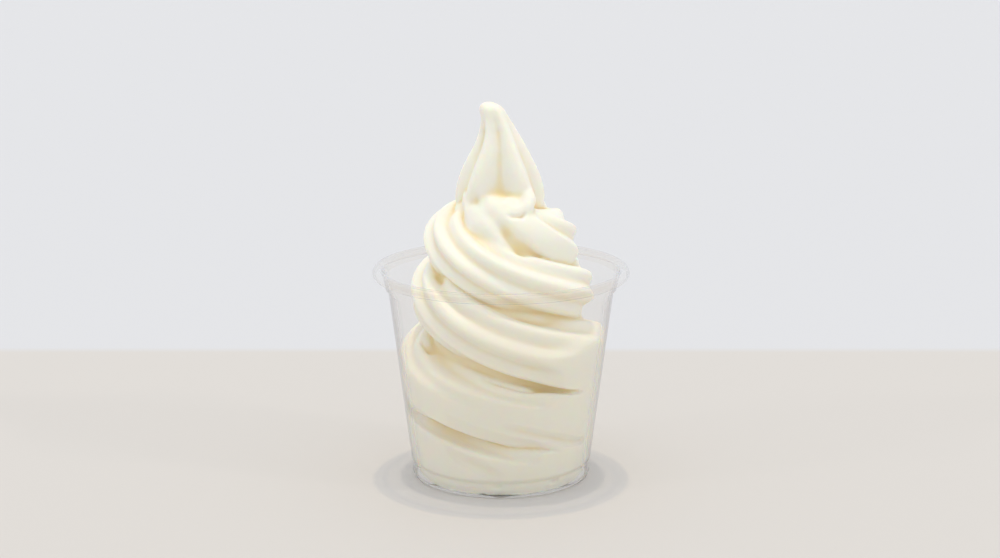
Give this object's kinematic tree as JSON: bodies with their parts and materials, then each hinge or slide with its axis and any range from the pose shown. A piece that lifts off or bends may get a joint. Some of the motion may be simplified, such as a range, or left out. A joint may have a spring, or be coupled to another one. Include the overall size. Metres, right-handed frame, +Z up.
{
  "type": "frozen yogurt cup",
  "caption": "Clear plastic dessert cup with a rolled rim, filled with a tall ridged swirl of pale soft frozen yogurt that is drawn up into a curled peak.",
  "frame": {"origin": "centre of the cup's flat base, on the surface it stands on", "axes": "+Z up, -Y towards the viewer of the picture (the front), +X to the viewer's right"},
  "size_m": [0.092, 0.092, 0.136],
  "materials": {
    "clear_plastic": "clear, smooth thermoformed plastic",
    "frozen_yogurt": "pale cream, soft and slightly moist"
  },
  "bodies": {
    "root": {"cup": "clear_plastic", "yogurt": "frozen_yogurt"}
  },
  "joints": []
}
